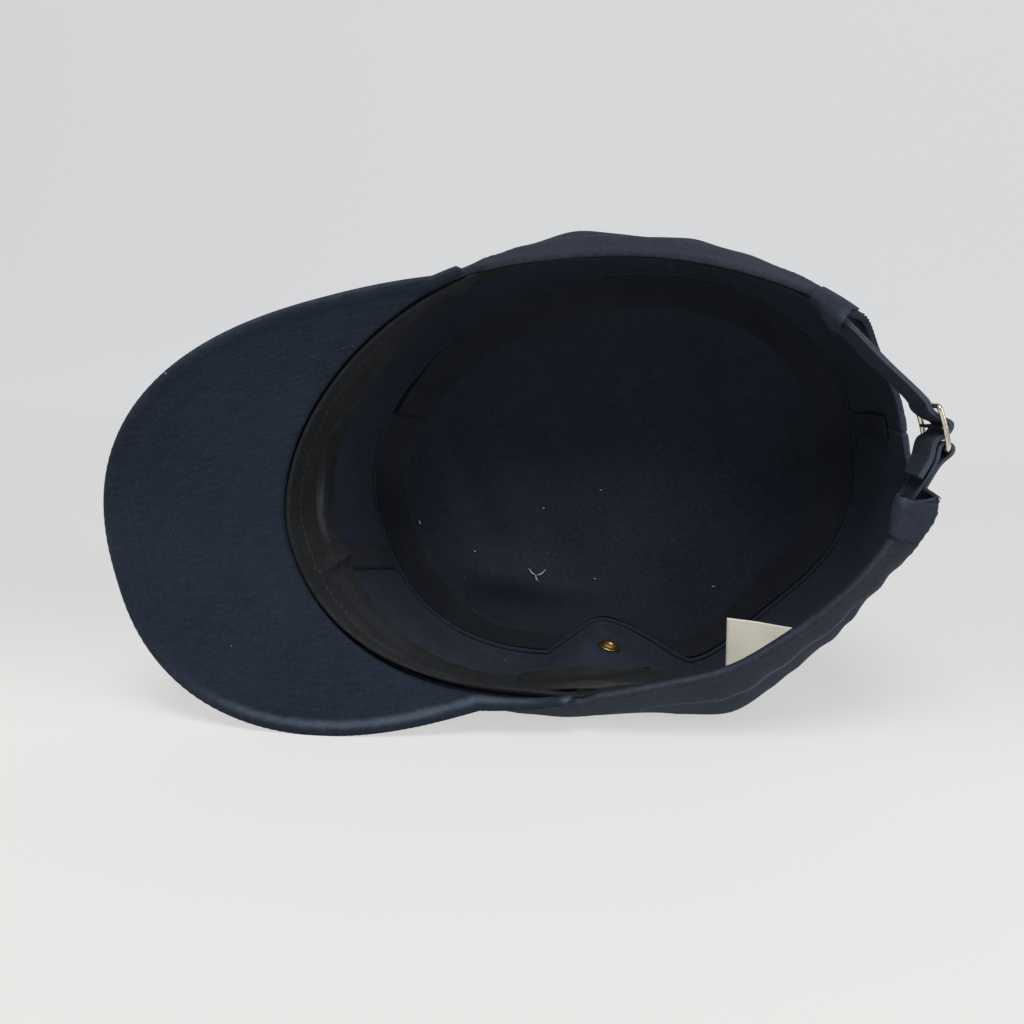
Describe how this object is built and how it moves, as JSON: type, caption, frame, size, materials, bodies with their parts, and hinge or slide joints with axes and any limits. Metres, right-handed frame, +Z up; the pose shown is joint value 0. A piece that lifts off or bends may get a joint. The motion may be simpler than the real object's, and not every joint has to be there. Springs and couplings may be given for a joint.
{
  "type": "field cap",
  "caption": "Flat-topped cloth field cap with a stiff arched peak, sweatband and buckled back strap, lying on its side with a fold buckled into the wall.",
  "frame": {"origin": "under the middle of the cap's box, on the surface that the cap lies on", "axes": "+X towards the back of the cap, +Y from the rim to the top panel, +Z up as the cap lies on its right side"},
  "size_m": [0.2874, 0.1064, 0.1718],
  "materials": {
    "crown_twill": "worn navy cotton twill",
    "peak_twill": "worn navy cotton twill over a stiff board",
    "strap_twill": "navy cotton twill",
    "sweatband_tape": "black cotton tape",
    "binding_tape": "black binding tape",
    "label_cloth": "cream woven cloth",
    "buckle_metal": "warm nickel plate",
    "eyelet_metal": "dulled brass"
  },
  "bodies": {
    "root": {"wall_left": "crown_twill", "wall_right": "crown_twill", "crown_top": "crown_twill", "peak": "peak_twill", "sweatband": "sweatband_tape", "top_seam_tape": "binding_tape", "front_seam_tape": "binding_tape", "back_seam_tape": "binding_tape", "strap": "strap_twill", "strap_tab": "strap_twill", "buckle": "buckle_metal", "eyelet": "eyelet_metal", "label": "label_cloth"}
  },
  "joints": []
}
